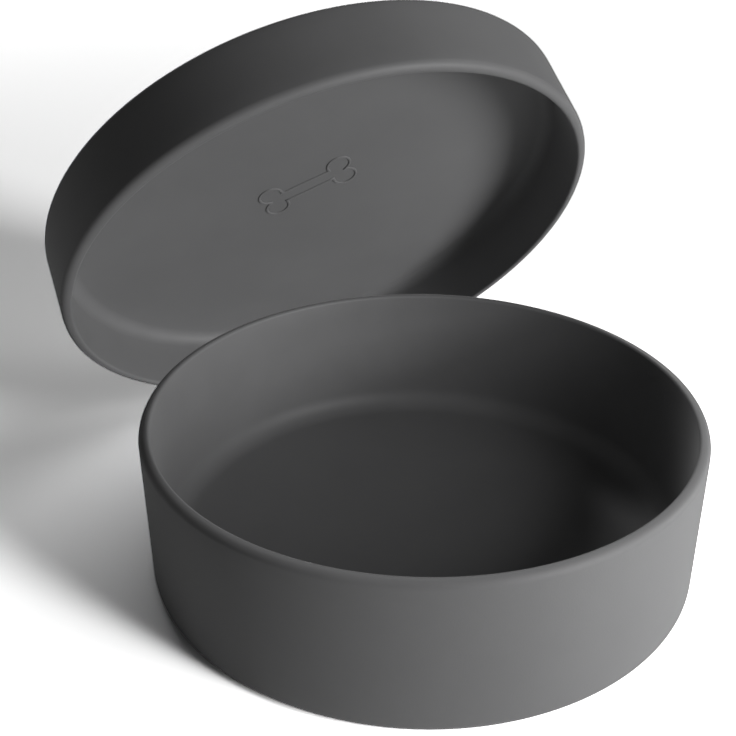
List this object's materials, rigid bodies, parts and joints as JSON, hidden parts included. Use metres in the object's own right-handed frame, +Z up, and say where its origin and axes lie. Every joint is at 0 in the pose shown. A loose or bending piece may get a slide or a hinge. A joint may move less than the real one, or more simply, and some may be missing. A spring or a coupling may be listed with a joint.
{
  "type": "silicone dog bowl",
  "caption": "Low round soft bowl with a straight wall, and its shallow flat-topped lid stood on edge behind it, leaning over the rim with its inside to the front.",
  "frame": {"origin": "the centre of the bowl's underside, where it rests on the table", "axes": "+Z up along the bowl's own axis, +Y to the back, where the lid stands, +X across"},
  "size_m": [0.1839, 0.2248, 0.1627],
  "materials": {
    "silicone_bowl": "satin moulded silicone, charcoal",
    "silicone_lid": "satin moulded silicone, charcoal"
  },
  "bodies": {
    "bowl": {"bowl": "silicone_bowl"},
    "lid": {"lid": "silicone_lid"}
  },
  "joints": [
    {"name": "lid_lift", "type": "slide", "parent": "bowl", "child": "lid", "axis": [0, 0, 1], "range_m": [0, 0.1]}
  ]
}
